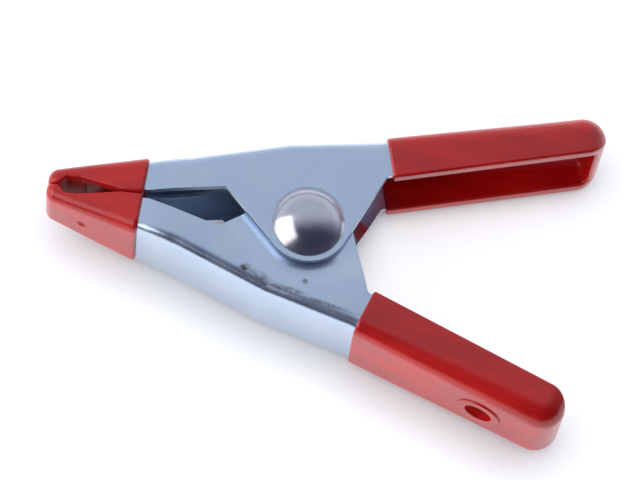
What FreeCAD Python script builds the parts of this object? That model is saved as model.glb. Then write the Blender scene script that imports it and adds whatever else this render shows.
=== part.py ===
import FreeCAD, Part
import math
import os
import re
import Sketcher

# A hand spring clamp in millimetres. Two zinc-plated channel arms turn on a
# domed rivet, a torsion spring between their ears keeps the jaws shut, and the
# handles and jaws are dipped in soft plastic.
#
# +Y points to the jaws and +Z up along the pivot. The pivot axis is x = y = 0,
# and z = 0 is the flat of the rivet's tail, on which the clamp lies.
# Every outline below is the right arm's. The left arm is the same stamping
# turned over, half a turn about Y at mid height.

SIZES = {
    # The bent sheet
    "sheet_gauge": 1.0,
    "channel_height": 16.0,
    "web_bend": 1.9,
    "nose_bend": 1.0,
    "end_bend": 3.0,
    "nose_corner": 1.2,
    "end_corner": 3.2,
    # The channel gets lower from here to the nose, by this much on either side
    "taper_start": 23.0,
    "taper_drop": 3.4,
    "taper_round": 20.0,
    # The web's line from the nose through the throat to the handle's end, and its lean from the Y axis
    "nose_reach": 41.4,
    "nose_width": 1.3,
    "throat_x": 7.8,
    "throat_y": 20.0,
    "throat_round": 40.0,
    "hip_run": 15.8,
    "hip_lean": 18.8,
    "heel_run": 14.3,
    "heel_lean": 12.2,
    "handle_run": 36.0,
    "handle_lean": 17.5,
    # The free edges of the cheeks, where the bite is measured down from the nose
    "jaw_gap": 0.2,
    "bite_low": 11.4,
    "eye_low": 4.6,
    "eye_high": 2.4,
    "bite_high": 1.2,
    "eye_depth": 1.2,
    "edge_foot": 25.6,
    "crotch_x": 3.4,
    "crotch_y": 13.8,
    "ear_radius": 6.7,
    "notch_drop": 0.4,
    "handle_root": 6.3,
    "handle_tail": 5.6,
    "opening_angle": 38.0,
    # The rounding of the corners between them
    "notch_round": 0.8,
    "crotch_round": 0.6,
    "eye_top_round": 0.6,
    "eye_round": 1.5,
    "bite_round": 3.0,
    "foot_round": 2.0,
    # The stepped ear, which lets the other arm's ear lie over it
    "step_radius": 7.2,
    "step_ramp": 3.2,
    "step_round": 4.0,
    "ear_gap": 0.1,
    # The dipped coats
    "coat": 0.6,
    "grip_start": 1.2,
    "boot_rim": 26.6,
    "boot_fill": 5.4,
    "dimple_setback": 5.9,
    "dimple_radius": 0.9,
    "dimple_depth": 0.4,
    # The hanging hole in each handle
    "hang_radius": 2.35,
    "hang_setback": 12.5,
    "lip_width": 1.4,
    "lip_height": 0.25,
    "rim_round": 0.45,
    # The rivet
    "shank_radius": 2.5,
    "running_gap": 0.05,
    "head_radius": 5.75,
    "head_rim": 0.3,
    "head_height": 3.0,
    "tail_radius": 4.5,
    "tail_height": 1.2,
    "tail_flat": 2.6,
    "tail_rise": 0.5,
    # The torsion spring
    "wire": 1.6,
    "coil_radius": 5.8,
    "coil_turns": 4,
    "leg_gap": 0.05,
    "leg_room": 1.3,
    # Room for the tools that cut the solids
    "least_bend": 0.3,
    "overrun": 8.0,
    "slack": 0.1,
}

# Heights, and other sizes that follow from those above
FLOOR = "(tail_height + ear_gap)"
MIDDLE = f"({FLOOR} + channel_height / 2)"
ROOF = f"({FLOOR} + channel_height)"
STEP = "(sheet_gauge + ear_gap)"
LINED = "(sheet_gauge + coat)"
JAW_FACE = "(jaw_gap / 2 + coat)"
NOSE_X = f"({JAW_FACE} + nose_width)"
JAW_LEAN = f"(atan2(throat_x - {NOSE_X}; nose_reach - throat_y) / 1 deg)"
PAST = "(ear_radius + overrun)"

# Each straight run of the web has a lean, and those behind the throat a length
WEB_LEANS = (JAW_LEAN, "hip_lean", "heel_lean", "handle_lean")
WEB_RUNS = ("hip_run", "heel_run")

doc = FreeCAD.newDocument("spring_clamp")
sheet = doc.addObject("Spreadsheet::Sheet", "Sizes")


def fill_sheet():
    """Write each driving size into the sheet, beside its name."""
    for row, (name, size) in enumerate(SIZES.items(), 1):
        sheet.set(f"A{row}", name)
        sheet.set(f"B{row}", str(size))
        sheet.setAlias(f"B{row}", name)
    doc.recompute()


def tied(expression):
    """Turn the names of sizes in an expression into the sheet's cells."""
    names = "|".join(SIZES)
    return re.sub(rf"\b({names})\b", r"Sizes.\1", expression)


def worth(expression):
    """The present value of an expression of sizes."""
    value = sheet.evalExpression(tied(expression))
    return float(getattr(value, "Value", value))


def flat_point(corner):
    """The present place of a corner in plan."""
    return FreeCAD.Vector(worth(corner[0]), worth(corner[1]), 0)


# Places in plan, as expressions of the sizes


def web_corner(index, inset):
    """A corner of the web's line, moved inward from the outer face."""
    if index == 0:
        share = f"(1 - sin({JAW_LEAN})) / cos({JAW_LEAN})"
        return f"{NOSE_X} - ({inset}) * {share}", f"nose_reach - ({inset})"
    if index == len(WEB_LEANS):
        return handle_point(f"handle_run - ({inset})", inset)
    x = "throat_x"
    y = "throat_y"
    for lean, run in zip(WEB_LEANS[1:index], WEB_RUNS):
        x += f" + {run} * sin({lean})"
        y += f" - {run} * cos({lean})"
    before, after = WEB_LEANS[index - 1 : index + 1]
    middle = f"(({before} + {after}) / 2)"
    share = f"({inset}) / cos(({before} - {after}) / 2)"
    return f"{x} - {share} * cos{middle}", f"{y} - {share} * sin{middle}"


def handle_point(along, inward):
    """A point of the handle, along it from the heel and inward from its outer face."""
    x, y = web_corner(len(WEB_LEANS) - 1, "0")
    x += f" + ({along}) * sin(handle_lean) - ({inward}) * cos(handle_lean)"
    y += f" - ({along}) * cos(handle_lean) - ({inward}) * sin(handle_lean)"
    return x, y


def jaw_point(setback, outward):
    """A point of the jaw, set back from the nose and outward from the outer face of its web."""
    x = f"{NOSE_X} + ({setback}) * tan({JAW_LEAN}) + ({outward}) * cos({JAW_LEAN})"
    y = f"nose_reach - ({setback}) + ({outward}) * sin({JAW_LEAN})"
    return x, y


def half_height(reach, inset):
    """Half the channel's height at a distance beyond the start of its taper, at a depth under its skin."""
    return f"(channel_height / 2 - ({inset}) - taper_drop * ({reach}) / (nose_reach - taper_start))"


def handle_width(along):
    """Width of the handle's cheek at a distance along it from the heel."""
    share = f"(({along}) - notch_drop) / (handle_run - notch_drop)"
    return f"(handle_root + (handle_tail - handle_root) * {share})"


def mirrored(corner):
    """The same corner of the other arm."""
    return f"-({corner[0]})", corner[1]


def touch_angle(corner, radius, sign):
    """Angle at which the line from a corner touches a circle about the pivot."""
    x, y = corner
    return f"(atan2({y}; {x}) {sign} acos({radius} / sqrt(({x})^2 + ({y})^2)))"


CROTCH = ("crotch_x", "crotch_y")
NOTCH = handle_point("notch_drop", "handle_root")


# Sketches


def hold(sketch, kind, *what):
    """Add a constraint whose last item is an expression, and bind it."""
    index = sketch.addConstraint(Sketcher.Constraint(kind, *what[:-1], worth(what[-1])))
    sketch.setExpression(f"Constraints[{index}]", tied(what[-1]))


def hold_start(sketch, line, corner):
    """Tie the start of a line to its distances from the origin."""
    hold(sketch, "DistanceX", -1, 1, line, 1, corner[0])
    hold(sketch, "DistanceY", -1, 1, line, 1, corner[1])


def join(sketch, first, second):
    """Join the end of one sketch edge to the start of the next."""
    sketch.addConstraint(Sketcher.Constraint("Coincident", first, 2, second, 1))


def plan_sketch(name, height, corners, round_pivot=None):
    """A closed outline in plan through corners.

    With round_pivot, the run from the last corner to the first goes round a
    circle of that radius about the pivot, anticlockwise and touching both runs.
    """
    sketch = doc.addObject("Sketcher::SketchObject", name)
    sketch.setExpression("Placement.Base.z", tied(height))
    places = [flat_point(corner) for corner in corners]
    if round_pivot is None:
        ends = places[1:] + places[:1]
    else:
        radius = worth(round_pivot)
        arrive = worth(touch_angle(corners[-1], round_pivot, "+"))
        leave = worth(touch_angle(corners[0], round_pivot, "-"))
        touches = [FreeCAD.Vector(radius, 0, 0) for _ in range(2)]
        for touch, angle in zip(touches, (arrive, leave)):
            turn = math.radians(angle)
            touch.x = radius * math.cos(turn)
            touch.y = radius * math.sin(turn)
        ends = places[1:] + touches[:1]
    for index, (start, end) in enumerate(zip(places, ends)):
        sketch.addGeometry(Part.LineSegment(start, end), False)
        hold_start(sketch, index, corners[index])
        if index:
            join(sketch, index - 1, index)
    last = len(places) - 1
    if round_pivot is None:
        join(sketch, last, 0)
        return sketch
    circle = Part.Circle(FreeCAD.Vector(), FreeCAD.Vector(0, 0, 1), radius)
    arc = sketch.addGeometry(Part.ArcOfCircle(circle, math.radians(arrive), math.radians(leave)), False)
    line = sketch.addGeometry(Part.LineSegment(touches[1], places[0]), False)
    sketch.addConstraint(Sketcher.Constraint("Coincident", arc, 3, -1, 1))
    hold(sketch, "Radius", arc, round_pivot)
    sketch.addConstraint(Sketcher.Constraint("Tangent", last, 2, arc, 1))
    sketch.addConstraint(Sketcher.Constraint("Tangent", arc, 2, line, 1))
    join(sketch, line, 0)
    return sketch


# Solids


def extruded(name, sketch, height):
    """A prism, as high above the sketch as below it."""
    prism = doc.addObject("Part::Extrusion", name)
    prism.Base = sketch
    prism.DirMode = "Normal"
    prism.Solid = True
    prism.Symmetric = True
    prism.setExpression("LengthFwd", tied(height))
    return prism


def cut(name, base, tool):
    """One solid less another."""
    result = doc.addObject("Part::Cut", name)
    result.Base = base
    result.Tool = tool
    return result


def side_sketch(name, corners):
    """A closed outline seen from the side, along Y and up Z, in the plane x = 0."""
    sketch = plan_sketch(name, "0", corners)
    sketch.Placement = FreeCAD.Placement(FreeCAD.Vector(), FreeCAD.Rotation(FreeCAD.Vector(1, 1, 1), 120))
    return sketch


def common(name, base, tool):
    """What two solids share."""
    result = doc.addObject("Part::Common", name)
    result.Base = base
    result.Tool = tool
    return result


def fused(name, *pieces):
    """Several solids as one."""
    result = doc.addObject("Part::MultiFuse", name)
    result.Shapes = list(pieces)
    return result


def middle_of(edge):
    """The point halfway along an edge."""
    return edge.valueAt((edge.FirstParameter + edge.LastParameter) / 2)


def filleted(name, base, wanted):
    """Round the edges for which wanted gives the radii at both ends."""
    doc.recompute()
    fillet = doc.addObject("Part::Fillet", name)
    fillet.Base = base
    edges = []
    for index, edge in enumerate(base.Shape.Edges, 1):
        radii = wanted(edge)
        if radii:
            edges.append((index, *radii))
    fillet.Edges = edges
    return fillet


def corner_rounder(rounds):
    """Choose the upright edges that stand at given corners in plan."""
    places = [(flat_point(corner), radius) for corner, radius in rounds]

    def wanted(edge):
        ends = [vertex.Point for vertex in edge.Vertexes]
        if len(ends) < 2 or abs(ends[0].z - ends[1].z) < (ends[0] - ends[1]).Length * 0.999:
            return None
        for place, radius in places:
            if math.hypot(ends[0].x - place.x, ends[0].y - place.y) < 0.01:
                return radius, radius
        return None

    return wanted


def depth_radius(outer_radius, inset):
    """The radius of a rounded edge at a depth under the outer face."""
    return max(worth(f"{outer_radius} - ({inset})"), worth("least_bend"))


def taper_rounder(radius):
    """Choose the two edges across the channel where its taper starts."""
    start = worth("taper_start")

    def wanted(edge):
        ends = (edge.valueAt(edge.FirstParameter), edge.valueAt(edge.LastParameter))
        if all(abs(point.y - start) < 0.001 for point in ends) and abs(ends[0].z - ends[1].z) < 0.001:
            return radius, radius
        return None

    return wanted


def bend_rounder(inset):
    """Choose the edges along the web, the nose and the handle's end, with the radius of their bend."""
    line = [flat_point(web_corner(index, inset)) for index in range(len(WEB_LEANS) + 1)]
    nose_side = FreeCAD.Vector(-worth(PAST), line[0].y, 0)
    end_side = flat_point(handle_point(f"handle_run - ({inset})", f"handle_tail + {PAST}"))
    path = Part.makePolygon([nose_side] + line + [end_side])
    reach = 0.4 * (worth("end_corner") - worth(inset))
    nose, web, end = [depth_radius(bend, inset) for bend in ("nose_bend", "web_bend", "end_bend")]
    throat = line[1]
    heel = line[3]
    middle = worth(MIDDLE)
    start = worth("taper_start")
    full = worth(half_height("0", inset))
    slope = full - worth(half_height("1", inset))

    def off_face(point):
        return abs(abs(point.z - middle) - full + slope * max(0.0, point.y - start))

    def radius_at(point):
        if point.y > throat.y:
            share = min(1.0, (point.y - throat.y) / (line[0].y - throat.y))
            return web + (nose - web) * share
        share = max(0.0, (heel.y - point.y) / (heel.y - line[4].y))
        return web + (end - web) * min(1.0, share)

    def wanted(edge):
        first = edge.valueAt(edge.FirstParameter)
        last = edge.valueAt(edge.LastParameter)
        for point in (first, middle_of(edge), last):
            flat = Part.Vertex(FreeCAD.Vector(point.x, point.y, 0))
            if off_face(point) > worth("slack") or path.distToShape(flat)[0] > reach:
                return None
        return radius_at(first), radius_at(last)

    return wanted


def channel_block(name, inset):
    """The space within the bent sheet at a depth under its outer face, open to the inner side."""
    nose_side = ("-slack", web_corner(0, inset)[1])
    end_side = handle_point(f"handle_run - ({inset})", f"handle_tail + {PAST} / 2")
    shoulder = "(crotch_y + taper_start) / 2"
    corners = [nose_side]
    corners += [web_corner(index, inset) for index in range(len(WEB_LEANS) + 1)]
    corners += [end_side, (f"-{PAST}", NOTCH[1]), (f"-{PAST}", shoulder), ("-slack", shoulder)]
    plan = plan_sketch(f"{name}_plan", MIDDLE, corners)
    prism = extruded(f"{name}_prism", plan, "channel_height * 2")
    tapered = common(f"{name}_tapered", prism, side_prism(f"{name}_side", inset))
    soft = filleted(f"{name}_taper_round", tapered, taper_rounder(depth_radius("taper_round", inset)))
    rounds = (
        (web_corner(0, inset), depth_radius("nose_corner", inset)),
        (web_corner(1, inset), depth_radius("throat_round", inset)),
        (web_corner(len(WEB_LEANS), inset), depth_radius("end_corner", inset)),
    )
    upright = filleted(f"{name}_corners", soft, corner_rounder(rounds))
    return filleted(f"{name}_bends", upright, bend_rounder(inset))


def side_prism(name, inset):
    """The channel's side view as a prism across both arms: level behind, lower towards the nose."""
    back = f"-(handle_run + 2 * {PAST})"
    front = "nose_reach + overrun"
    level = half_height("0", inset)
    low = half_height(f"{front} - taper_start", inset)
    outline = ((back, level), ("taper_start", level), (front, low))
    corners = [(y, f"{MIDDLE} - {half}") for y, half in outline]
    corners += [(y, f"{MIDDLE} + {half}") for y, half in reversed(outline)]
    sketch = side_sketch(f"{name}_outline", corners)
    return extruded(name, sketch, f"2 * (handle_run + {PAST})")


def bite_corners(face):
    """The corners of the bite in the jaw's face: its two ends, and between them the eye."""
    return [
        (face, "nose_reach - bite_high"),
        (f"{face} + eye_depth", "nose_reach - eye_high"),
        (f"{face} + eye_depth", "nose_reach - eye_low"),
        (face, "nose_reach - bite_low"),
    ]


def free_edges():
    """The prism that trims the cheeks to their free edges and ears."""
    finish = "handle_run + slack"
    tail_corner = handle_point(finish, handle_width(finish))
    corners = [
        NOTCH,
        tail_corner,
        handle_point(finish, f"-{PAST}"),
        (f"{PAST} * 2", f"nose_reach + {PAST}"),
        (JAW_FACE, f"nose_reach + {PAST}"),
        *bite_corners(JAW_FACE),
        (JAW_FACE, "edge_foot"),
        CROTCH,
    ]
    sketch = plan_sketch("free_edges_plan", MIDDLE, corners, "ear_radius")
    prism = extruded("free_edges_prism", sketch, "channel_height * 2")
    rounds = (
        (tail_corner, worth("end_corner")),
        (NOTCH, worth("notch_round")),
        (CROTCH, worth("crotch_round")),
        (corners[6], worth("eye_top_round")),
        (corners[7], worth("eye_round")),
        (corners[8], worth("bite_round")),
        (corners[9], worth("foot_round")),
    )
    return filleted("free_edges", prism, corner_rounder(rounds))


def ear_step(name, height):
    """The step in one ear: a ruled loft from the wide mouth of its ramp up to its flat."""
    upper = touch_angle(mirrored(CROTCH), "ear_radius", "-")
    lower = f"({touch_angle(mirrored(NOTCH), 'ear_radius', '+')} + opening_angle * 1 deg)"
    sections = []
    for part, radius, rise in (
        ("mouth", "(step_radius + step_ramp)", "0"),
        ("flat", "step_radius", STEP),
    ):
        corners = [(f"-{PAST}", f"({radius} + {PAST} * cos{angle}) / sin{angle}") for angle in (upper, lower)]
        sections.append(plan_sketch(f"{name}_{part}", f"{height} + {rise}", corners, radius))
    loft = doc.addObject("Part::Loft", name)
    loft.Sections = sections
    loft.Solid = True
    loft.Ruled = True
    return loft


def outline_rounder(outlines, radius):
    """Choose the edges that lie along any of some sketched outlines, but for the open side's."""
    size = worth(radius)
    open_side = -worth(PAST)

    def wanted(edge):
        ends = [edge.valueAt(edge.FirstParameter), edge.valueAt(edge.LastParameter)]
        middle = middle_of(edge)
        if abs(middle.x - open_side) < 0.001:
            return None
        points = [Part.Vertex(point) for point in (*ends, middle)]
        for outline in outlines:
            if all(outline.distToShape(point)[0] < 0.001 for point in points):
                return size, size
        return None

    return wanted


def skin_rounder(blank, radius):
    """Choose the edges that lie on the skin of a blank."""
    size = worth(radius)
    skin = blank.Shape.Shells[0]

    def wanted(edge):
        points = (edge.valueAt(edge.FirstParameter), middle_of(edge), edge.valueAt(edge.LastParameter))
        if all(skin.distToShape(Part.Vertex(point))[0] < 0.001 for point in points):
            return size, size
        return None

    return wanted


def cylinder_about_pivot(name, radius, bottom, height):
    """A cylinder on the pivot axis."""
    cylinder = doc.addObject("Part::Cylinder", name)
    cylinder.setExpression("Radius", tied(radius))
    cylinder.setExpression("Height", tied(height))
    cylinder.setExpression("Placement.Base.z", tied(bottom))
    return cylinder


def cylinder_through_handle(name, radius, outward, inward):
    """A cylinder square through the handle's web, between two distances from its outer face."""
    x, y = handle_point("handle_run + coat - hang_setback", f"-({outward})")
    cylinder = doc.addObject("Part::Cylinder", name)
    cylinder.setExpression("Radius", tied(radius))
    cylinder.setExpression("Height", tied(f"{outward} + {inward}"))
    place = f"vector({x}; {y}; {MIDDLE})"
    turn = "rotation(vector(0; 0; 1); handle_lean) * rotation(vector(0; 1; 0); -90)"
    cylinder.setExpression("Placement", tied(f"placement({place}; {turn})"))
    return cylinder


def stamping():
    """One arm as stamped: a channel with closed ends, one plain ear and one stepped ear."""
    outside = channel_block("steel_outside", "0")
    inside = channel_block("steel_inside", "sheet_gauge")
    boss = ear_step("ear_boss", f"{FLOOR} + sheet_gauge")
    recess = ear_step("ear_recess", FLOOR)
    shell = cut("steel_shell", outside, cut("steel_hollow", inside, boss))
    stepped = cut("steel_stepped", shell, recess)
    doc.recompute()
    outlines = [section.Shape for section in boss.Sections + recess.Sections]
    drawn = filleted("steel_drawn", stepped, outline_rounder(outlines, "step_round"))
    trimmed = common("steel_trimmed", drawn, free_edges())
    hole = cylinder_through_handle("steel_hang_hole", "hang_radius + coat", LINED, f"2 * {LINED}")
    return cut("steel_stamping", trimmed, hole)


def grip_blank():
    """The part of a handle that is dipped."""
    start = "grip_start"
    finish = "handle_run + coat + slack"
    corners = [
        handle_point(start, f"-{PAST}"),
        handle_point(start, f"{handle_width(start)} + coat"),
        handle_point(finish, f"{handle_width(finish)} + coat"),
        handle_point(finish, f"-{PAST}"),
    ]
    sketch = plan_sketch("grip_blank_plan", MIDDLE, corners)
    prism = extruded("grip_blank_prism", sketch, "channel_height * 2")
    return filleted("grip_blank", prism, corner_rounder([(corners[2], worth("end_corner + coat"))]))


def boot_blank():
    """The part of a jaw that is dipped."""
    face = f"({JAW_FACE} - coat)"
    corners = [
        (f"{PAST} * 2", "boot_rim"),
        (f"{PAST} * 2", f"nose_reach + {PAST}"),
        (face, f"nose_reach + {PAST}"),
        *bite_corners(face),
        (face, "boot_rim"),
    ]
    sketch = plan_sketch("boot_blank_plan", MIDDLE, corners)
    prism = extruded("boot_blank_prism", sketch, "channel_height * 2")
    rounds = (
        (corners[4], worth("eye_top_round")),
        (corners[5], worth("eye_round")),
        (corners[6], worth("bite_round")),
    )
    return filleted("boot_blank", prism, corner_rounder(rounds))


def dipped(name, sleeve, blank):
    """The part of a sleeve that is in a blank, with the round rims that wet plastic draws itself into."""
    part = common(f"{name}_dipped", sleeve, blank)
    doc.recompute()
    return filleted(f"{name}_drawn", part, skin_rounder(blank, "rim_round"))


def grip_shell(outside, inside):
    """One handle's coat before its steel is taken out, with the lip round its hanging hole."""
    shell = cut("grip_sleeve", outside, inside)
    lip_radius = "hang_radius + lip_width"
    lip = cylinder_through_handle("grip_lip", lip_radius, "coat + lip_height", "sheet_gauge")
    rounded = filleted("grip_lip_round", lip, rim_rounder("coat + lip_height", "lip_height * 0.9"))
    sleeve = fused("grip_lipped", dipped("grip", shell, grip_blank()), rounded)
    hole = cylinder_through_handle("grip_hang_hole", "hang_radius", LINED, f"2 * {LINED}")
    return cut("grip_shell", sleeve, hole)


def rim_rounder(outward, radius):
    """Choose the round edge that lies at a depth outside the handle's steel."""
    centre = flat_point(handle_point("handle_run + coat - hang_setback", f"-({outward})"))
    size = worth(radius)

    def wanted(edge):
        if not hasattr(edge.Curve, "Radius"):
            return None
        middle = edge.Curve.Center
        if math.hypot(middle.x - centre.x, middle.y - centre.y) > 0.01:
            return None
        return size, size

    return wanted


def boot_shell(outside, inside):
    """One jaw's coat before its steel is taken out: hollow near the rim, filled at the nose, with a dimple."""
    box = doc.addObject("Part::Box", "boot_hollow_box")
    box.setExpression("Length", tied(f"{PAST} * 4"))
    box.setExpression("Width", tied("nose_reach"))
    box.setExpression("Height", tied("channel_height * 2"))
    box.setExpression("Placement.Base.x", tied(f"-{PAST} * 2"))
    box.setExpression("Placement.Base.y", tied("-boot_fill"))
    box.setExpression("Placement.Base.z", tied(f"{MIDDLE} - channel_height"))
    hollow = common("boot_hollow", inside, box)
    sleeve = dipped("boot", cut("boot_sleeve", outside, hollow), boot_blank())
    ball = "((dimple_radius^2 + dimple_depth^2) / (2 * dimple_depth))"
    x, y = jaw_point("dimple_setback", f"coat - dimple_depth + {ball}")
    dimple = doc.addObject("Part::Sphere", "boot_dimple")
    dimple.setExpression("Radius", tied(ball))
    dimple.setExpression("Placement.Base", tied(f"vector({x}; {y}; {MIDDLE})"))
    return cut("boot_shell", sleeve, dimple)


def turned_over(piece):
    """Lay a piece of the right arm over as the left arm's."""
    piece.Placement = FreeCAD.Placement(FreeCAD.Vector(), FreeCAD.Rotation(FreeCAD.Vector(0, 1, 0), 180))
    piece.setExpression("Placement.Base.z", tied(f"2 * {MIDDLE}"))


def arms_and_coats():
    """Both arms with their coats, each from the same stamping."""
    steel = stamping()
    bore = cylinder_about_pivot("pivot_bore", "shank_radius + running_gap", "0", f"2 * {MIDDLE}")
    outside = channel_block("coat_outside", "-coat")
    inside = channel_block("coat_inside", LINED)
    grip = grip_shell(outside, inside)
    boot = boot_shell(outside, inside)
    pieces = []
    for side in ("right", "left"):
        made = [
            cut(f"{side}_arm", steel, bore),
            cut(f"{side}_grip", grip, steel),
            cut(f"{side}_boot", boot, steel),
        ]
        if side == "left":
            for piece in made:
                turned_over(piece)
        pieces += made
    return pieces


def origin_plane(body, role):
    """One of a body's own origin planes."""
    for feature in body.Origin.OriginFeatures:
        if feature.Role == role:
            return feature
    raise LookupError(role)


def pivot_rivet():
    """The rivet: a domed head on the upper ear, its shank, and a low upset tail under the lower ear."""
    body = doc.addObject("PartDesign::Body", "pivot_rivet")
    sketch = body.newObject("Sketcher::SketchObject", "rivet_profile")
    sketch.AttachmentSupport = [(origin_plane(body, "XZ_Plane"), "")]
    sketch.MapMode = "FlatFace"
    axis_x = "0"
    crown = f"{ROOF} + head_height"
    corners = [
        (axis_x, "0"),
        ("tail_flat", "0"),
        ("tail_radius", "tail_rise"),
        ("tail_radius", "tail_height"),
        ("shank_radius", "tail_height"),
        ("shank_radius", ROOF),
        ("head_radius", ROOF),
        ("head_radius", f"{ROOF} + head_rim"),
        (axis_x, crown),
    ]
    places = [FreeCAD.Vector(worth(x), worth(y), 0) for x, y in corners]
    dome = len(places) - 2
    for index, start in enumerate(places):
        end = places[(index + 1) % len(places)]
        if index == dome:
            rise = end.y - start.y
            radius = (start.x ** 2 + rise ** 2) / (2 * rise)
            centre = FreeCAD.Vector(0, end.y - radius, 0)
            circle = Part.Circle(centre, FreeCAD.Vector(0, 0, 1), radius)
            slope = math.atan2(start.y - centre.y, start.x)
            sketch.addGeometry(Part.ArcOfCircle(circle, slope, math.pi / 2), False)
            sketch.addConstraint(Sketcher.Constraint("PointOnObject", index, 3, -2))
        else:
            sketch.addGeometry(Part.LineSegment(start, end), False)
    for index, corner in enumerate(corners):
        join(sketch, index, (index + 1) % len(corners))
        if corner[0] == axis_x:
            sketch.addConstraint(Sketcher.Constraint("PointOnObject", index, 1, -2))
        else:
            hold(sketch, "DistanceX", -1, 1, index, 1, corner[0])
        if corner[1] == "0":
            sketch.addConstraint(Sketcher.Constraint("PointOnObject", index, 1, -1))
        else:
            hold(sketch, "DistanceY", -1, 1, index, 1, corner[1])
    turned = body.newObject("PartDesign::Revolution", "rivet_turned")
    turned.Profile = sketch
    turned.ReferenceAxis = (sketch, ["V_Axis"])
    turned.Angle = 360
    return body


# The spring


def arc_between(start, tangent_point, end):
    """The arc that touches both sides of an even-legged corner."""
    chord_middle = (start + end) * 0.5
    half_chord = (end - start).Length / 2
    cosine = half_chord / (tangent_point - start).Length
    crown = chord_middle + (tangent_point - chord_middle) * (cosine / (1 + cosine))
    return Part.Arc(start, crown, end).toShape()


def biarc(start, start_way, end, end_way):
    """Two arcs that leave one point along its direction and reach the next along its own."""
    span = end - start
    ways = start_way + end_way
    square = ways.dot(ways) - 4
    straight = -2 * span.dot(ways)
    reach = (-straight - math.sqrt(straight ** 2 - 4 * square * span.dot(span))) / (2 * square)
    first = start + start_way * reach
    second = end - end_way * reach
    joint = (first + second) * 0.5
    return [arc_between(start, first, joint), arc_between(joint, second, end)]


def spring_line():
    """The wire's centre line: the lower leg, the coil and the upper leg."""
    radius = worth("coil_radius")
    inset = worth("sheet_gauge + wire / 2 + leg_gap")
    seat = flat_point(web_corner(3, str(inset)))
    seat_angle = math.atan2(seat.y, seat.x)
    start_angle = seat_angle + math.acos(radius / math.hypot(seat.x, seat.y))
    sweep = math.pi - 2 * start_angle + 2 * math.pi * worth("coil_turns")
    quarters = 2 * math.ceil(sweep / math.pi)
    ease = sweep / quarters
    rise = worth("channel_height - 2 * (sheet_gauge + leg_room) - wire")
    low = worth(MIDDLE) - rise / 2
    gain = rise / (sweep - ease)

    def height_at(turn):
        if turn < ease:
            return low + gain * turn ** 2 / (2 * ease)
        if turn > sweep - ease:
            return low + rise - gain * (sweep - turn) ** 2 / (2 * ease)
        return low + gain * (turn - ease / 2)

    def slope_at(turn):
        return gain * min(1.0, turn / ease, (sweep - turn) / ease)

    knots = []
    for index in range(quarters + 1):
        turn = ease * index
        angle = start_angle + turn
        place = FreeCAD.Vector(radius * math.cos(angle), radius * math.sin(angle), height_at(turn))
        way = FreeCAD.Vector(-radius * math.sin(angle), radius * math.cos(angle), slope_at(turn))
        knots.append((place, way.normalize()))
    leg = math.sqrt(seat.x ** 2 + seat.y ** 2 - radius ** 2)
    first, first_way = knots[0]
    last, last_way = knots[-1]
    edges = [Part.LineSegment(first - first_way * leg, first).toShape()]
    for (place, way), (next_place, next_way) in zip(knots, knots[1:]):
        edges += biarc(place, way, next_place, next_way)
    edges.append(Part.LineSegment(last, last + last_way * leg).toShape())
    return Part.Wire(edges)


def least_gap(line, diameter):
    """The least clear space between a wire and itself, measured on points along it."""
    step = diameter / 4
    points = line.discretize(Distance=step)
    apart = int(math.ceil(3 * diameter / step))
    nearest = min(
        (points[later] - points[early]).Length
        for early in range(len(points))
        for later in range(early + apart, len(points))
    )
    return nearest - diameter


def torsion_spring():
    """The spring, a round wire along its line."""
    line = spring_line()
    wire = worth("wire")
    start = line.Edges[0].valueAt(line.Edges[0].FirstParameter)
    way = line.Edges[0].tangentAt(line.Edges[0].FirstParameter)
    section = Part.Wire([Part.makeCircle(wire / 2, start, way)])
    shape = line.makePipeShell([section], True, False)
    spring = doc.addObject("Part::Feature", "torsion_spring")
    spring.Shape = shape
    print("spring: least gap to itself", round(least_gap(line, wire), 3))
    print("spring: volume over section times length", round(shape.Volume / (math.pi * wire ** 2 / 4 * line.Length), 4))
    return spring


def check(pieces):
    """Stop if any object failed, or a piece is not one sound solid."""
    for thing in doc.Objects:
        if "Invalid" in thing.State or "Error" in thing.State:
            raise RuntimeError(f"{thing.Name} failed: {thing.State}")
    for piece in pieces:
        shape = piece.Shape
        if shape.isNull() or not shape.isValid() or len(shape.Solids) != 1:
            raise RuntimeError(f"{piece.Label} is not one sound solid")
        print(piece.Label, round(shape.Volume, 2), shape.BoundBox)


def main():
    fill_sheet()
    pieces = arms_and_coats()
    pieces.append(pivot_rivet())
    doc.recompute()
    pieces.append(torsion_spring())
    doc.recompute()
    check(pieces)
    os.makedirs("parts", exist_ok=True)
    for piece in pieces:
        piece.Shape.exportStep(f"parts/{piece.Label}.step")


main()
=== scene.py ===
"""Looks of a hand spring clamp: zinc-plated arms, a domed rivet, a coil spring and red dipped coats.

Lengths are in metres in the clamp's own frame: +Y to the jaws, +Z up along the
pivot, and z = 0 on the table that the clamp lies on. A field whose name ends in
_mm is in millimetres, and a span holds the two noise levels between which an
effect grows from none to full.
"""

import logging
import math
from dataclasses import dataclass, field
from enum import Enum

import bpy
from mathutils import Matrix, Vector


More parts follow.
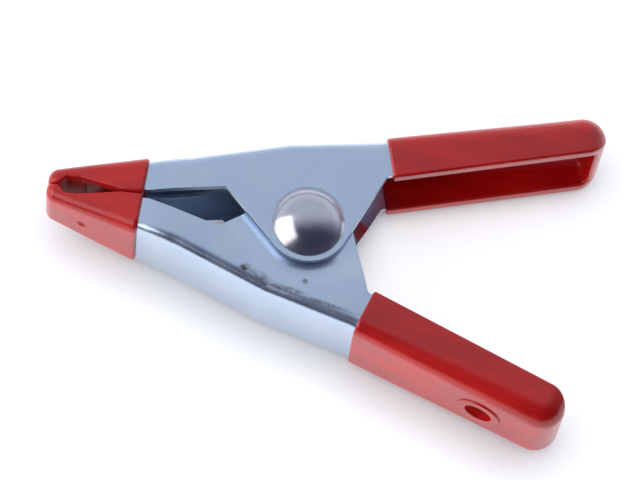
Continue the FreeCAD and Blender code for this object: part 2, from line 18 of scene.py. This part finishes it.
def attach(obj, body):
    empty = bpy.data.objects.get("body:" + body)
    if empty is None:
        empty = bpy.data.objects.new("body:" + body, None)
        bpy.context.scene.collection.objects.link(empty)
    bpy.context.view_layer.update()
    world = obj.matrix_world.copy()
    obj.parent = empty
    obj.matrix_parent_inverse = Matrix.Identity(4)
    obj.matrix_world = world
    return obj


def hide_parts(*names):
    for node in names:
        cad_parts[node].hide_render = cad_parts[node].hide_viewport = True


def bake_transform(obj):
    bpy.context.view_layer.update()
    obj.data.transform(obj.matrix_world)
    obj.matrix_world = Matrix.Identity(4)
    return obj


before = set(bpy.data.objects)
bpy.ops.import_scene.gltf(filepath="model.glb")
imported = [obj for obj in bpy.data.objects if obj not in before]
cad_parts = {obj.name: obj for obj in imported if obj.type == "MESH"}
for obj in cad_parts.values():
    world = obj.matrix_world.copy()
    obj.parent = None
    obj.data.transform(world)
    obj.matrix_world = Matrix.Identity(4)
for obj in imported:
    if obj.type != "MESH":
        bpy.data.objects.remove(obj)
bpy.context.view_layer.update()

MM = 0.001
MERGE_REACH = 0.001 * MM
SHARP_EDGE = 32.0
OPEN_SAMPLES = 8
LOG = logging.getLogger("spring_clamp")

Colour = tuple[float, float, float, float]
Span = tuple[float, float]
Triple = tuple[float, float, float]


class Side(Enum):
    """The two halves of the clamp, by the side of the pivot that their web is on."""

    RIGHT = "right"
    LEFT = "left"

    @property
    def body(self) -> str:
        """Name of the body that this half's pieces ride on."""
        return f"{self.value}_half"


class Limb(Enum):
    """The two ends of an arm that are dipped."""

    GRIP = "grip"
    BOOT = "boot"


def linear(hex_colour: str) -> Colour:
    """Turn an sRGB hex colour to linear light.

    Args:
        hex_colour: Six hex digits, with or without a leading hash.

    Returns:
        Red, green, blue and an alpha of one.
    """
    digits = hex_colour.lstrip("#")
    channels = [int(digits[place:place + 2], 16) / 255 for place in (0, 2, 4)]
    curved = [c / 12.92 if c <= 0.04045 else ((c + 0.055) / 1.055) ** 2.4 for c in channels]
    return (curved[0], curved[1], curved[2], 1.0)


def add_node(tree: bpy.types.NodeTree, kind: str, settings: dict | None = None,
             links: dict | None = None) -> bpy.types.Node:
    """Add one shader node with its settings and the links into it.

    A Mix node's sockets go by index: 0 is the factor, 2 and 3 are its two
    numbers, and 6 and 7 its two colours.

    Args:
        tree: The node tree that it goes into.
        kind: Blender's name for the node's type.
        settings: Socket names or indexes, or properties of the node, and their values.
        links: Input sockets, by name or index, and the output socket that feeds each.

    Returns:
        The new node.
    """
    node = tree.nodes.new(kind)
    for name, value in (settings or {}).items():
        if isinstance(name, str) and hasattr(node, name):
            setattr(node, name, value)
        else:
            node.inputs[name].default_value = value
    for name, socket in (links or {}).items():
        tree.links.new(socket, node.inputs[name])
    return node


def new_material(name: str) -> tuple[bpy.types.Material, bpy.types.NodeTree, bpy.types.Node]:
    """Make an empty material with its principled shader linked to the output.

    Args:
        name: The material's name.

    Returns:
        The material, its node tree and its shader.
    """
    material = bpy.data.materials.new(name)
    material.use_nodes = True
    tree = material.node_tree
    tree.nodes.clear()
    shader = add_node(tree, "ShaderNodeBsdfPrincipled")
    add_node(tree, "ShaderNodeOutputMaterial", links={"Surface": shader.outputs[0]})
    return material, tree, shader


def object_place(tree: bpy.types.NodeTree, stretch: Triple = (1.0, 1.0, 1.0)) -> bpy.types.NodeSocket:
    """Give the place on the object, in metres.

    Args:
        tree: The node tree that reads it.
        stretch: Scale along X, Y and Z. Less than one draws a pattern out.

    Returns:
        The vector socket.
    """
    place = add_node(tree, "ShaderNodeTexCoord").outputs["Object"]
    mapping = add_node(tree, "ShaderNodeMapping", {"Scale": stretch}, {"Vector": place})
    return mapping.outputs[0]


def cycles_per_metre(spacing_mm: float) -> float:
    """Scale of a noise texture whose blotches are about this far apart."""
    return 1 / (spacing_mm * MM)


@dataclass(frozen=True)
class Rub:
    """One long flat mark, where other stampings in the plating barrel have chafed the zinc.

    Lengths are in millimetres. The mark fades from core, a share of its own
    size, out to its edge.
    """

    x: float
    y: float
    half_length: float
    half_width: float
    turn: float
    depth: float
    core: float = 0.35

    def mask(self, tree: bpy.types.NodeTree, level: float, reach: float) -> bpy.types.NodeSocket:
        """Give how strongly the mark shows at each place.

        Args:
            tree: The node tree that reads it.
            level: Height of the marked face.
            reach: How far above and below that face it shows.

        Returns:
            A socket that is the depth at the mark's middle and zero outside it.
        """
        place = add_node(tree, "ShaderNodeTexCoord").outputs["Object"]
        local = add_node(tree, "ShaderNodeMapping",
                         {"vector_type": "TEXTURE", "Location": (self.x * MM, self.y * MM, level * MM),
                          "Rotation": (0.0, 0.0, math.radians(self.turn)),
                          "Scale": (self.half_length * MM, self.half_width * MM, reach * MM)},
                         {"Vector": place})
        away = add_node(tree, "ShaderNodeVectorMath", {"operation": "LENGTH"}, {0: local.outputs[0]})
        shown = add_node(tree, "ShaderNodeMapRange",
                         {"From Min": 1.0, "From Max": self.core, "To Min": 0.0, "To Max": self.depth},
                         {"Value": away.outputs["Value"]})
        return shown.outputs[0]


@dataclass(frozen=True)
class ZincPlate:
    """Blue-bright zinc on cold-rolled steel strip, stamped and then barrel plated.

    The rolled strip leaves a faint grain along the arm, the plating a satin
    bloom with a cool blue cast, and tumbling in the barrel small dull scuffs.
    The cut and bent edges come out of the barrel slightly burnished. The real
    grain is finer than a pixel of the render, so it is drawn coarser here.
    """

    name: str = "zinc_plated_steel"
    colour: str = "#cbd9eb"
    bloom: str = "#c1d1e6"
    warm: str = "#d2d9e2"
    scuff: str = "#5e5a57"
    roughness: float = 0.22
    dull: float = 0.3
    rubbed: float = 0.5
    # The cloudy bloom, and the noise levels at which its three tints are reached
    bloom_mm: float = 9.0
    bloom_detail: float = 5.0
    bloom_edge: float = 0.55
    bloom_levels: Triple = (0.32, 0.62, 0.78)
    polish_span: Span = (0.3, 0.7)
    # The grain of the strip, drawn out along Y
    grain_mm: float = 0.35
    grain_detail: float = 3.0
    grain_draw: Triple = (1.0, 0.06, 1.0)
    grain_bump: float = 0.1
    grain_height_mm: float = 0.02
    # Small specks all over
    scuff_mm: float = 3.4
    scuff_detail: float = 6.0
    scuff_edge: float = 0.6
    speck_span: Span = (0.7, 0.85)
    speck_depth: float = 0.2
    # Patches in which the rub marks are deeper or nearly gone
    wear_mm: float = 0.7
    wear_detail: float = 4.0
    wear_span: Span = (0.35, 0.6)
    wear_least: float = 0.25
    # Burnished edges
    edge_mm: float = 0.14
    edge_samples: int = 6
    # The rub marks, on the upper cheek of the left arm
    face_mm: float = 17.3
    face_reach_mm: float = 1.5
    rubs: tuple[Rub, ...] = (
        Rub(-9.6, 8.7, 1.3, 0.9, -69, 1.0),
        Rub(-10.6, 6.4, 3.0, 1.1, -105, 0.6),
        Rub(-11.9, 1.8, 4.2, 0.7, -95, 0.7),
        Rub(-13.2, -5.0, 6.0, 0.5, -99, 0.65),
        Rub(-10.0, -1.1, 0.7, 0.6, 0, 0.9),
    )

    def rub_marks(self, tree: bpy.types.NodeTree) -> bpy.types.NodeSocket:
        """Give the deepest of the rub marks at each place.

        Args:
            tree: The node tree that reads it.

        Returns:
            A socket from zero to one.
        """
        first, *others = (rub.mask(tree, self.face_mm, self.face_reach_mm) for rub in self.rubs)
        for shown in others:
            first = add_node(tree, "ShaderNodeMath", {"operation": "MAXIMUM"}, {0: first, 1: shown}).outputs[0]
        return first

    def worn(self, tree: bpy.types.NodeTree, place: bpy.types.NodeSocket) -> bpy.types.NodeSocket:
        """Give how far the plating is scuffed: the rub marks, and small specks all over.

        Args:
            tree: The node tree that reads it.
            place: The place on the object.

        Returns:
            A socket from zero, as plated, to one, dull.
        """
        tumbled = add_node(tree, "ShaderNodeTexNoise",
                           {"Scale": cycles_per_metre(self.scuff_mm), "Detail": self.scuff_detail,
                            "Roughness": self.scuff_edge},
                           {"Vector": place})
        specks = add_node(tree, "ShaderNodeMapRange",
                          {"From Min": self.speck_span[0], "From Max": self.speck_span[1],
                           "To Min": 0.0, "To Max": self.speck_depth},
                          {"Value": tumbled.outputs["Fac"]})
        wear = add_node(tree, "ShaderNodeTexNoise",
                        {"Scale": cycles_per_metre(self.wear_mm), "Detail": self.wear_detail},
                        {"Vector": place})
        patchy = add_node(tree, "ShaderNodeMapRange",
                          {"From Min": self.wear_span[0], "From Max": self.wear_span[1],
                           "To Min": self.wear_least, "To Max": 1.0},
                          {"Value": wear.outputs["Fac"]})
        marks = add_node(tree, "ShaderNodeMath", {"operation": "MULTIPLY"},
                         {0: self.rub_marks(tree), 1: patchy.outputs[0]})
        both = add_node(tree, "ShaderNodeMath", {"operation": "MAXIMUM"},
                        {0: marks.outputs[0], 1: specks.outputs[0]})
        return both.outputs[0]

    def material(self) -> bpy.types.Material:
        """Build the plating.

        Returns:
            The material.
        """
        material, tree, shader = new_material(self.name)
        place = object_place(tree)
        bloom = add_node(tree, "ShaderNodeTexNoise",
                         {"Scale": cycles_per_metre(self.bloom_mm), "Detail": self.bloom_detail,
                          "Roughness": self.bloom_edge},
                         {"Vector": place})
        cool = add_node(tree, "ShaderNodeValToRGB", links={"Fac": bloom.outputs["Fac"]})
        low, middle, high = self.bloom_levels
        cool.color_ramp.elements[0].position = low
        cool.color_ramp.elements[0].color = linear(self.bloom)
        cool.color_ramp.elements[1].position = middle
        cool.color_ramp.elements[1].color = linear(self.colour)
        cool.color_ramp.elements.new(high).color = linear(self.warm)
        grain = add_node(tree, "ShaderNodeTexNoise",
                         {"Scale": cycles_per_metre(self.grain_mm), "Detail": self.grain_detail},
                         {"Vector": object_place(tree, self.grain_draw)})
        worn = self.worn(tree, place)
        dressed = add_node(tree, "ShaderNodeMix", {"data_type": "RGBA", 7: linear(self.scuff)},
                           {0: worn, 6: cool.outputs[0]})
        polish = add_node(tree, "ShaderNodeMapRange",
                          {"From Min": self.polish_span[0], "From Max": self.polish_span[1],
                           "To Min": self.roughness, "To Max": self.dull},
                          {"Value": bloom.outputs["Fac"]})
        rough = add_node(tree, "ShaderNodeMix", {3: self.rubbed}, {0: worn, 2: polish.outputs[0]})
        burnished = add_node(tree, "ShaderNodeBevel",
                             {"samples": self.edge_samples, "Radius": self.edge_mm * MM})
        bump = add_node(tree, "ShaderNodeBump",
                        {"Strength": self.grain_bump, "Distance": self.grain_height_mm * MM},
                        {"Height": grain.outputs["Fac"], "Normal": burnished.outputs[0]})
        tree.links.new(dressed.outputs[2], shader.inputs["Base Color"])
        tree.links.new(rough.outputs[0], shader.inputs["Roughness"])
        tree.links.new(bump.outputs[0], shader.inputs["Normal"])
        shader.inputs["Metallic"].default_value = 1.0
        return material


@dataclass(frozen=True)
class BrightRivet:
    """Nickel-bright plated steel, cold headed and then tumbled: a smooth dome with soft long reflections.

    Tumbling leaves the polish a little cloudy, with the faintest of pits.
    """

    name: str = "bright_rivet_steel"
    colour: str = "#d4d3d9"
    shade: str = "#bebdc6"
    roughness: float = 0.16
    dull: float = 0.26
    cloud_mm: float = 2.2
    cloud_detail: float = 6.0
    polish_span: Span = (0.35, 0.7)
    pit_mm: float = 0.5
    pit_detail: float = 2.0
    pit_bump: float = 0.08
    pit_height_mm: float = 0.02

    def material(self) -> bpy.types.Material:
        """Build the rivet's plating.

        Returns:
            The material.
        """
        material, tree, shader = new_material(self.name)
        place = object_place(tree)
        cloud = add_node(tree, "ShaderNodeTexNoise",
                         {"Scale": cycles_per_metre(self.cloud_mm), "Detail": self.cloud_detail},
                         {"Vector": place})
        pits = add_node(tree, "ShaderNodeTexNoise",
                        {"Scale": cycles_per_metre(self.pit_mm), "Detail": self.pit_detail},
                        {"Vector": place})
        tint = add_node(tree, "ShaderNodeMix",
                        {"data_type": "RGBA", 6: linear(self.shade), 7: linear(self.colour)},
                        {0: cloud.outputs["Fac"]})
        polish = add_node(tree, "ShaderNodeMapRange",
                          {"From Min": self.polish_span[0], "From Max": self.polish_span[1],
                           "To Min": self.roughness, "To Max": self.dull},
                          {"Value": cloud.outputs["Fac"]})
        bump = add_node(tree, "ShaderNodeBump",
                        {"Strength": self.pit_bump, "Distance": self.pit_height_mm * MM},
                        {"Height": pits.outputs["Fac"]})
        tree.links.new(tint.outputs[2], shader.inputs["Base Color"])
        tree.links.new(polish.outputs[0], shader.inputs["Roughness"])
        tree.links.new(bump.outputs[0], shader.inputs["Normal"])
        shader.inputs["Metallic"].default_value = 1.0
        return material


@dataclass(frozen=True)
class SpringWire:
    """Oil-tempered spring wire, drawn through a die: a darker steel with an uneven, half-dull skin."""

    name: str = "drawn_spring_wire"
    colour: str = "#8d9096"
    shade: str = "#5f6268"
    roughness: float = 0.3
    dull: float = 0.48
    cloud_mm: float = 1.6
    cloud_detail: float = 5.0

    def material(self) -> bpy.types.Material:
        """Build the wire's surface.

        Returns:
            The material.
        """
        material, tree, shader = new_material(self.name)
        cloud = add_node(tree, "ShaderNodeTexNoise",
                         {"Scale": cycles_per_metre(self.cloud_mm), "Detail": self.cloud_detail},
                         {"Vector": object_place(tree)})
        tint = add_node(tree, "ShaderNodeMix",
                        {"data_type": "RGBA", 6: linear(self.shade), 7: linear(self.colour)},
                        {0: cloud.outputs["Fac"]})
        polish = add_node(tree, "ShaderNodeMapRange",
                          {"To Min": self.roughness, "To Max": self.dull},
                          {"Value": cloud.outputs["Fac"]})
        tree.links.new(tint.outputs[2], shader.inputs["Base Color"])
        tree.links.new(polish.outputs[0], shader.inputs["Roughness"])
        shader.inputs["Metallic"].default_value = 1.0
        return material


@dataclass(frozen=True)
class DippedVinyl:
    """Plastisol, a soft PVC that hot steel is dipped in and that is cured in an oven.

    It comes out glossy and level, a little translucent, with faint runs along
    the dip, a slight orange-peel ripple, and dull where it drained last, in the folds.
    """

    name: str = "dipped_red_vinyl"
    colour: str = "#e5170e"
    deep: str = "#bb0e08"
    roughness: float = 0.2
    dull: float = 0.32
    ior: float = 1.53
    gloss: float = 0.25
    # The runs, drawn out along Y
    run_mm: float = 4.5
    run_detail: float = 4.0
    run_draw: Triple = (1.0, 0.2, 1.0)
    run_span: Span = (0.3, 0.7)
    # The orange-peel ripple
    ripple_mm: float = 2.4
    ripple_detail: float = 1.0
    ripple_bump: float = 0.3
    ripple_height_mm: float = 0.04
    # The folds, where less than the span's share of the air round a place is open
    fold_mm: float = 5.0
    fold_dull: float = 0.95
    fold_span: Span = (0.25, 0.6)
    # The light that gets into the vinyl
    depth: float = 0.06
    depth_mm: float = 0.6
    depth_colour: Triple = (1.0, 0.2, 0.15)

    def material(self) -> bpy.types.Material:
        """Build the vinyl.

        Returns:
            The material.
        """
        material, tree, shader = new_material(self.name)
        low, high = self.run_span
        place = object_place(tree)
        runs = add_node(tree, "ShaderNodeTexNoise",
                        {"Scale": cycles_per_metre(self.run_mm), "Detail": self.run_detail},
                        {"Vector": object_place(tree, self.run_draw)})
        mottle = add_node(tree, "ShaderNodeMapRange", {"From Min": low, "From Max": high},
                          {"Value": runs.outputs["Fac"]})
        tint = add_node(tree, "ShaderNodeMix",
                        {"data_type": "RGBA", 6: linear(self.deep), 7: linear(self.colour)},
                        {0: mottle.outputs[0]})
        polish = add_node(tree, "ShaderNodeMapRange",
                          {"From Min": low, "From Max": high, "To Min": self.roughness, "To Max": self.dull},
                          {"Value": runs.outputs["Fac"]})
        ripple = add_node(tree, "ShaderNodeTexNoise",
                          {"Scale": cycles_per_metre(self.ripple_mm), "Detail": self.ripple_detail},
                          {"Vector": place})
        bump = add_node(tree, "ShaderNodeBump",
                        {"Strength": self.ripple_bump, "Distance": self.ripple_height_mm * MM},
                        {"Height": ripple.outputs["Fac"]})
        open_air = add_node(tree, "ShaderNodeAmbientOcclusion",
                            {"samples": OPEN_SAMPLES, "Distance": self.fold_mm * MM})
        drained = add_node(tree, "ShaderNodeMapRange",
                           {"From Min": self.fold_span[0], "From Max": self.fold_span[1]},
                           {"Value": open_air.outputs["AO"]})
        rough = add_node(tree, "ShaderNodeMix", {2: self.fold_dull},
                         {0: drained.outputs[0], 3: polish.outputs[0]})
        tree.links.new(tint.outputs[2], shader.inputs["Base Color"])
        tree.links.new(rough.outputs[0], shader.inputs["Roughness"])
        tree.links.new(bump.outputs[0], shader.inputs["Normal"])
        shader.inputs["IOR"].default_value = self.ior
        shader.inputs["Coat Weight"].default_value = self.gloss
        shader.inputs["Coat Roughness"].default_value = self.roughness
        shader.inputs["Subsurface Weight"].default_value = self.depth
        shader.inputs["Subsurface Radius"].default_value = self.depth_colour
        shader.inputs["Subsurface Scale"].default_value = self.depth_mm * MM
        return material


@dataclass(frozen=True)
class TableTop:
    """A white satin card in even light, which is its own glow.

    Near the clamp the glow is painted shade: an occlusion mask dims it within a
    short reach of the clamp, which paints the soft shade under it.
    """

    name: str = "white_table"
    colour: str = "#a4a6a9"
    shade: str = "#9fa1a5"
    glow: str = "#fbfcff"
    glow_strength: float = 0.94
    painted_shade_reach_mm: float = 9.0
    roughness: float = 0.6
    cloud_mm: float = 90.0

    def material(self) -> bpy.types.Material:
        """Build the table's surface.

        Returns:
            The material.
        """
        material, tree, shader = new_material(self.name)
        cloud = add_node(tree, "ShaderNodeTexNoise",
                         {"Scale": cycles_per_metre(self.cloud_mm)}, {"Vector": object_place(tree)})
        tint = add_node(tree, "ShaderNodeMix",
                        {"data_type": "RGBA", 6: linear(self.shade), 7: linear(self.colour)},
                        {0: cloud.outputs["Fac"]})
        # Painted shade: the occlusion mask dims the card's glow wherever the clamp is near
        clear = add_node(tree, "ShaderNodeAmbientOcclusion",
                         {"samples": OPEN_SAMPLES, "Distance": self.painted_shade_reach_mm * MM})
        glow = add_node(tree, "ShaderNodeMath", {"operation": "MULTIPLY", 1: self.glow_strength},
                        {0: clear.outputs["AO"]})
        tree.links.new(tint.outputs[2], shader.inputs["Base Color"])
        tree.links.new(glow.outputs[0], shader.inputs["Emission Strength"])
        shader.inputs["Roughness"].default_value = self.roughness
        shader.inputs["Emission Color"].default_value = linear(self.glow)
        return material


def select_only(piece: bpy.types.Object) -> None:
    """Deselect everything but one piece, and make it the active one.

    Args:
        piece: The object to select.
    """
    bpy.ops.object.select_all(action="DESELECT")
    piece.select_set(True)
    bpy.context.view_layer.objects.active = piece


def surfaced_copy(node: str, name: str, finish: bpy.types.Material) -> bpy.types.Object:
    """Copy a CAD node, merge its loose triangles, shade it smooth and give it its finish.

    Args:
        node: The CAD node.
        name: The copy's name.
        finish: The copy's material.

    Returns:
        The copy, in place.
    """
    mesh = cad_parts[node].data.copy()
    mesh.name = name
    mesh.materials.clear()
    piece = bpy.data.objects.new(name, mesh)
    bpy.context.scene.collection.objects.link(piece)
    select_only(piece)
    bpy.ops.object.mode_set(mode="EDIT")
    bpy.ops.mesh.select_all(action="SELECT")
    bpy.ops.mesh.customdata_custom_splitnormals_clear()
    bpy.ops.mesh.remove_doubles(threshold=MERGE_REACH)
    bpy.ops.object.mode_set(mode="OBJECT")
    bpy.ops.object.shade_smooth_by_angle(angle=math.radians(SHARP_EDGE))
    piece.data.materials.append(finish)
    return piece


@dataclass
class Arm:
    """One half's stamped arm: a channel of bent strip with its ears, as blanked, bent and plated."""

    side: Side
    finish: bpy.types.Material

    def build(self) -> bpy.types.Object:
        """Make the arm and let it ride on its half.

        Returns:
            The arm.
        """
        node = f"{self.side.value}_arm"
        piece = surfaced_copy(node, f"{node}_plated", self.finish)
        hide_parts(node)
        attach(piece, self.side.body)
        return piece


@dataclass
class DippedCoat:
    """One dipped coat, on a handle or a jaw: soft vinyl drawn round by its own surface tension."""

    side: Side
    limb: Limb
    finish: bpy.types.Material

    def build(self) -> bpy.types.Object:
        """Make the coat and let it ride on its half.

        Returns:
            The coat.
        """
        node = f"{self.side.value}_{self.limb.value}"
        piece = surfaced_copy(node, f"{node}_dipped", self.finish)
        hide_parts(node)
        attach(piece, self.side.body)
        return piece


@dataclass
class Rivet:
    """The cold-headed rivet on which both arms turn."""

    finish: bpy.types.Material

    def build(self) -> bpy.types.Object:
        """Make the rivet and let it ride on the half that it turns with.

        Returns:
            The rivet.
        """
        piece = surfaced_copy("pivot_rivet", "pivot_rivet_headed", self.finish)
        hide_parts("pivot_rivet")
        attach(piece, Side.RIGHT.body)
        return piece


@dataclass
class Spring:
    """The torsion spring, wound round the pivot between the ears, with a leg on each web.
    """

    finish: bpy.types.Material
    low: float = 5.25 * MM
    high: float = 13.35 * MM

    def build(self) -> bpy.types.Object:
        """Make the spring in place.

        Returns:
            The spring.
        """
        piece = surfaced_copy("torsion_spring", "torsion_spring_drawn", self.finish)
        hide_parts("torsion_spring")
        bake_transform(piece)
        return piece


@dataclass
class Lamp:
    """A broad soft lamp: where it hangs and its width and height in metres, and its power in watts."""

    name: str
    place: Triple
    size: tuple[float, float]
    power: float

    def hang(self, aim: Vector) -> bpy.types.Object:
        """Hang the lamp, facing a point.

        Args:
            aim: The point.

        Returns:
            The lamp.
        """
        data = bpy.data.lights.new(self.name, "AREA")
        data.shape = "RECTANGLE"
        data.size, data.size_y = self.size
        data.energy = self.power
        lamp = bpy.data.objects.new(self.name, data)
        bpy.context.scene.collection.objects.link(lamp)
        lamp.location = self.place
        lamp.rotation_euler = (aim - Vector(self.place)).to_track_quat("-Z", "Y").to_euler()
        return lamp


@dataclass
class Studio:
    """The table, the light round it and the camera over it."""

    table_finish: bpy.types.Material
    # The table lies this far under the clamp, so that the rivet's tail shares no plane with it
    table_side: float = 3.0
    table_gap: float = 0.02 * MM
    # The camera
    aim: Vector = field(default_factory=lambda: Vector((0.0, -0.0023, 0.010)))
    back: Vector = field(default_factory=lambda: Vector((-0.38, 0.0, 1.0)))
    image_up: Vector = field(default_factory=lambda: Vector((0.986, 0.164, 0.0)))
    distance: float = 0.683
    lens: float = 240.0
    sensor: float = 36.0
    # The room: its lit side lies along lit_way, and side_span says how far along it dark turns to lit
    sky_colour: str = "#e7effd"
    dark_colour: str = "#a3a6d0"
    lit_way: Triple = (1.0, 0.3, 0.0)
    side_span: Span = (-0.5, 0.38)
    lit_side: float = 1.02
    dark_side: float = 0.2
    # Brightness at the horizon and overhead, and the Z of the way where it is full and where overhead begins
    horizon: float = 0.12
    overhead: float = 0.72
    full_height: float = 0.16
    overhead_height: float = 0.5
    window: Lamp = field(default_factory=lambda: Lamp("window_lamp", (-0.29, 0.82, 0.5), (1.08, 0.9), 5.4))

    def table(self) -> bpy.types.Object:
        """Lay the white table under the clamp.

        Returns:
            The table.
        """
        bpy.ops.object.select_all(action="DESELECT")
        bpy.ops.mesh.primitive_plane_add(size=self.table_side, location=(0, 0, -self.table_gap))
        table = bpy.context.object
        table.name = "table"
        table.data.materials.append(self.table_finish)
        return table

    def sky(self) -> None:
        """Surround the table with a soft room: pale and bright on one side, dim and bluer on the other.

        It is dark at the horizon, brightest a little above it and softer overhead.
        """
        world = bpy.data.worlds.new("studio")
        bpy.context.scene.world = world
        world.use_nodes = True
        tree = world.node_tree
        tree.nodes.clear()
        way = add_node(tree, "ShaderNodeTexCoord").outputs["Generated"]
        parts = add_node(tree, "ShaderNodeSeparateXYZ", links={0: way})
        across = add_node(tree, "ShaderNodeVectorMath", {"operation": "DOT_PRODUCT", 1: self.lit_way}, {0: way})
        side = add_node(tree, "ShaderNodeMapRange",
                        {"From Min": self.side_span[0], "From Max": self.side_span[1],
                         "interpolation_type": "SMOOTHSTEP"},
                        {"Value": across.outputs["Value"]})
        level = add_node(tree, "ShaderNodeMapRange", {"To Min": self.dark_side, "To Max": self.lit_side},
                         {"Value": side.outputs[0]})
        tint = add_node(tree, "ShaderNodeMix",
                        {"data_type": "RGBA", 6: linear(self.dark_colour), 7: linear(self.sky_colour)},
                        {0: side.outputs[0]})
        rise = add_node(tree, "ShaderNodeValToRGB", links={"Fac": parts.outputs["Z"]})
        rise.color_ramp.elements[0].color = (self.horizon, self.horizon, self.horizon, 1.0)
        rise.color_ramp.elements[1].position = self.full_height
        rise.color_ramp.elements.new(self.overhead_height).color = (self.overhead, self.overhead, self.overhead, 1.0)
        strength = add_node(tree, "ShaderNodeMath", {"operation": "MULTIPLY"},
                            {0: level.outputs[0], 1: rise.outputs[0]})
        light = add_node(tree, "ShaderNodeBackground",
                         links={"Color": tint.outputs[2], "Strength": strength.outputs[0]})
        add_node(tree, "ShaderNodeOutputWorld", links={"Surface": light.outputs[0]})

    def camera(self) -> bpy.types.Object:
        """Stand the camera at the angle from which the photograph sees the clamp.

        Returns:
            The camera.
        """
        back = self.back.normalized()
        up = (self.image_up - back * self.image_up.dot(back)).normalized()
        right = up.cross(back)
        data = bpy.data.cameras.new("camera")
        data.lens = self.lens
        data.sensor_width = self.sensor
        data.dof.use_dof = False
        camera = bpy.data.objects.new("camera", data)
        bpy.context.scene.collection.objects.link(camera)
        place = self.aim + back * self.distance
        rows = [(right[i], up[i], back[i], place[i]) for i in range(3)] + [(0, 0, 0, 1)]
        camera.matrix_world = Matrix(rows)
        bpy.context.scene.camera = camera
        return camera

    def build(self) -> None:
        """Set up the whole studio, with the plain view that shows colours as they are."""
        self.table()
        self.sky()
        self.window.hang(self.aim)
        self.camera()
        bpy.context.scene.view_settings.view_transform = "Standard"
        bpy.context.scene.view_settings.look = "None"


def main() -> None:
    """Build the clamp piece by piece, then the studio."""
    logging.basicConfig(level=logging.INFO, format="%(name)s: %(message)s")
    zinc = ZincPlate().material()
    vinyl = DippedVinyl().material()
    pieces = []
    for side in Side:
        pieces.append(Arm(side, zinc).build())
        for limb in Limb:
            pieces.append(DippedCoat(side, limb, vinyl).build())
    pieces.append(Rivet(BrightRivet().material()).build())
    pieces.append(Spring(SpringWire().material()).build())
    for piece in pieces:
        LOG.info("%s: %d faces", piece.name, len(piece.data.polygons))
    Studio(TableTop().material()).build()


if __name__ == "__main__":
    main()
